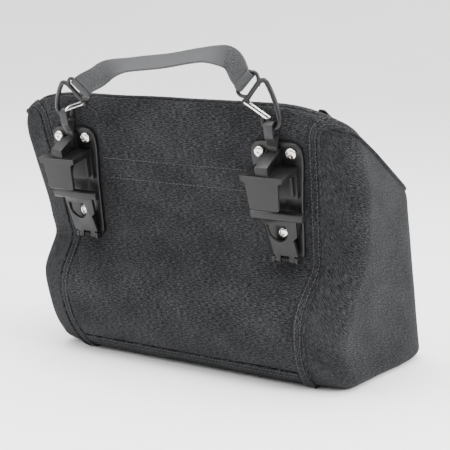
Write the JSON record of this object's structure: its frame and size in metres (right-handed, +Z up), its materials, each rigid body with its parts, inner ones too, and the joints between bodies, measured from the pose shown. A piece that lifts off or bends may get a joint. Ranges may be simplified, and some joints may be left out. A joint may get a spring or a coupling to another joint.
{
  "type": "clip-on luggage bag",
  "caption": "Soft-sided wedge-shaped motorcycle bag with a sloped zip lid, two latching rail hooks on its back and a strap handle that releases them.",
  "frame": {"origin": "centre of the bounding box on the floor plane the bag stands on", "axes": "+Z up, +Y towards the front of the bag, away from the rail hooks, +X to the right seen from the hook side"},
  "size_m": [0.3698, 0.2332, 0.3134],
  "materials": {
    "heather_fabric": "matte dark grey heather weave over thin foam",
    "liner_board": "stiff black board",
    "zip": "black coil zip on woven tape",
    "hook_plastic": "black moulded nylon, satin",
    "steel": "bright zinc-plated steel",
    "webbing": "grey woven webbing",
    "tab_webbing": "black coated webbing"
  },
  "bodies": {
    "bag": {"back_panel": "heather_fabric", "front_panel": "heather_fabric", "base_panel": "heather_fabric", "end_panel_left": "heather_fabric", "end_panel_right": "heather_fabric", "top_panel": "heather_fabric", "seam_band_left": "heather_fabric", "seam_band_right": "heather_fabric", "seam_band_base": "heather_fabric", "zip_tape_shell": "zip", "back_stiffener": "liner_board", "base_board": "liner_board", "hook_base_left": "hook_plastic", "hook_claw_left": "hook_plastic", "rail_insert_left": "hook_plastic", "latch_pin_left": "steel", "hook_screw_left_1": "steel", "hook_nut_left_1": "steel", "hook_screw_left_2": "steel", "hook_nut_left_2": "steel", "hook_screw_left_3": "steel", "hook_nut_left_3": "steel", "hook_base_right": "hook_plastic", "hook_claw_right": "hook_plastic", "rail_insert_right": "hook_plastic", "latch_pin_right": "steel", "hook_screw_right_1": "steel", "hook_nut_right_1": "steel", "hook_screw_right_2": "steel", "hook_nut_right_2": "steel", "hook_screw_right_3": "steel", "hook_nut_right_3": "steel"},
    "lid": {"lid_panel": "heather_fabric", "zip_tape_lid": "zip"},
    "slider": {"zip_slider": "steel"},
    "puller": {"zip_puller": "steel"},
    "latch_left": {"latch_left": "hook_plastic", "latch_spring_left": "steel"},
    "latch_right": {"latch_right": "hook_plastic", "latch_spring_right": "steel"},
    "tab_left": {"release_tab_left": "tab_webbing"},
    "tab_right": {"release_tab_right": "tab_webbing"},
    "handle": {"handle_strap": "webbing", "snap_hook_left": "hook_plastic", "snap_hook_right": "hook_plastic"},
    "gate_left": {"wire_gate_left": "steel"},
    "gate_right": {"wire_gate_right": "steel"}
  },
  "joints": [
    {"name": "lid_hinge", "type": "hinge", "parent": "bag", "child": "lid", "pos_m": [0, -0.02331, 0.23862], "axis": [1, 0, 0], "range_deg": [0, 120]},
    {"name": "zip_slide", "type": "slide", "parent": "bag", "child": "slider", "axis": [0, 0.8688, -0.4952], "range_m": [0, 0.1]},
    {"name": "puller_hinge", "type": "hinge", "parent": "slider", "child": "puller", "pos_m": [0.14018, -0.03546, 0.24816], "axis": [-1, 0, 0], "range_deg": [0, 100]},
    {"name": "release_right", "type": "slide", "parent": "bag", "child": "tab_right", "axis": [0, -0.2436, 0.9699], "range_m": [0, 0.008]},
    {"name": "release_left", "type": "slide", "parent": "bag", "child": "tab_left", "axis": [0, -0.2436, 0.9699], "range_m": [0, 0.008]},
    {"name": "latch_hinge_right", "type": "hinge", "parent": "bag", "child": "latch_right", "pos_m": [0.1115, -0.06036, 0.12359], "axis": [-1, 0, 0], "range_deg": [0, 12], "stiffness_Nm_per_rad": 0.12, "springref_deg": -28.65},
    {"name": "latch_hinge_left", "type": "hinge", "parent": "bag", "child": "latch_left", "pos_m": [-0.1115, -0.06036, 0.12359], "axis": [-1, 0, 0], "range_deg": [0, 12], "stiffness_Nm_per_rad": 0.12, "springref_deg": -28.65},
    {"name": "handle_swing", "type": "hinge", "parent": "tab_right", "child": "handle", "pos_m": [0, -0.09026, 0.2443], "axis": [1, 0, 0], "range_deg": [0, 40]},
    {"name": "gate_hinge_right", "type": "hinge", "parent": "handle", "child": "gate_right", "pos_m": [0.0866, -0.09026, 0.2652], "axis": [0, -1, 0], "range_deg": [0, 22], "stiffness_Nm_per_rad": 0.01, "springref_deg": -17.19},
    {"name": "gate_hinge_left", "type": "hinge", "parent": "handle", "child": "gate_left", "pos_m": [-0.08307, -0.09899, 0.25758], "axis": [0, 0.848, 0.5299], "range_deg": [0, 22], "stiffness_Nm_per_rad": 0.01, "springref_deg": -17.19}
  ],
  "couplings": [
    {"joint": "release_left", "follows": "release_right", "ratio": 1},
    {"joint": "latch_hinge_right", "follows": "release_right", "rad_per_m": 26},
    {"joint": "latch_hinge_left", "follows": "release_right", "rad_per_m": 26}
  ]
}
